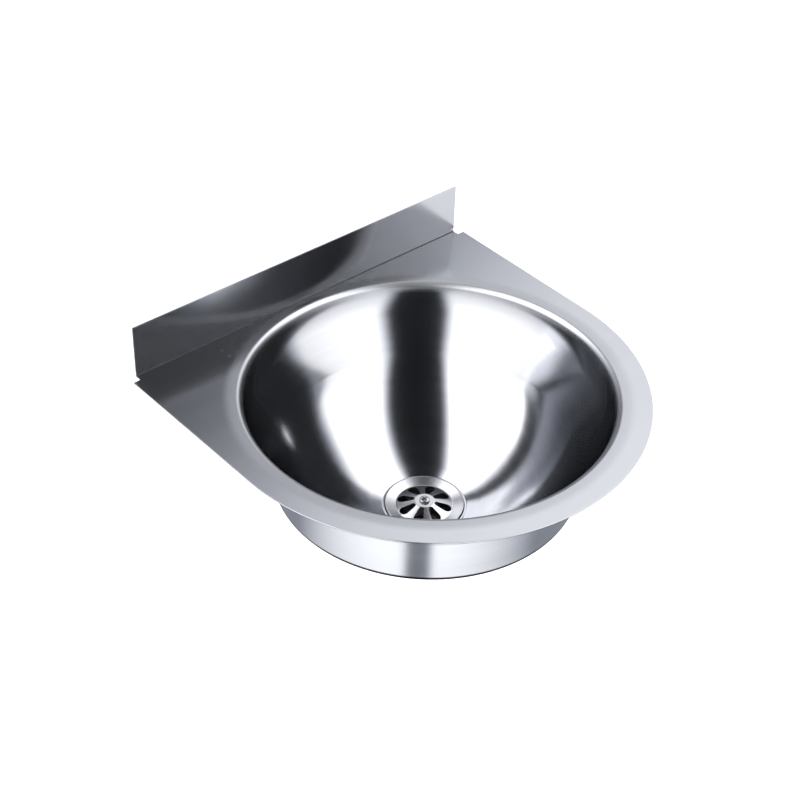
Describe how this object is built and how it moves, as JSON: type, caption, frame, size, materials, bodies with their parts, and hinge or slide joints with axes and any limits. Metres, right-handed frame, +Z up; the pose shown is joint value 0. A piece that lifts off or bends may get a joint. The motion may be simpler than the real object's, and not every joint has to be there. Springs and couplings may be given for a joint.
{
  "type": "wall hung hand wash sink",
  "caption": "Small wall-hung stainless steel hand wash sink: D-shaped deck with a rear upstand, round bowl with a short skirt, slotted waste and hook-on wall rail.",
  "frame": {"origin": "middle of the two wall slots, in the plane of the wall", "axes": "+Z up, +Y into the wall, +X to the right seen from the front"},
  "size_m": [0.4, 0.3825, 0.2493],
  "materials": {
    "deck_steel": "fine satin stainless steel",
    "bowl_steel": "spun stainless steel, bright satin",
    "skirt_steel": "bright rolled stainless steel",
    "fixing_steel": "mill-finish stainless steel",
    "fastener_steel": "bright stainless fasteners",
    "strainer_steel": "polished pressed stainless steel",
    "insert_brass": "machined",
    "seal_rubber": "matt",
    "waste_plastic": "moulded, slightly rough"
  },
  "bodies": {
    "root": {"deck_with_upstand": "deck_steel", "bowl": "bowl_steel", "skirt": "skirt_steel", "wall_rail": "fixing_steel", "hanger_left": "fixing_steel", "hanger_right": "fixing_steel", "gusset_left": "fixing_steel", "gusset_right": "fixing_steel", "lock_screws": "fastener_steel", "lock_washers": "fastener_steel", "weld_nuts": "fastener_steel", "earth_tag": "fixing_steel", "strainer": "strainer_steel", "strainer_screw": "fastener_steel", "screw_insert": "insert_brass", "flange_seal": "seal_rubber", "waste_washer": "seal_rubber", "waste_body": "waste_plastic"}
  },
  "joints": []
}
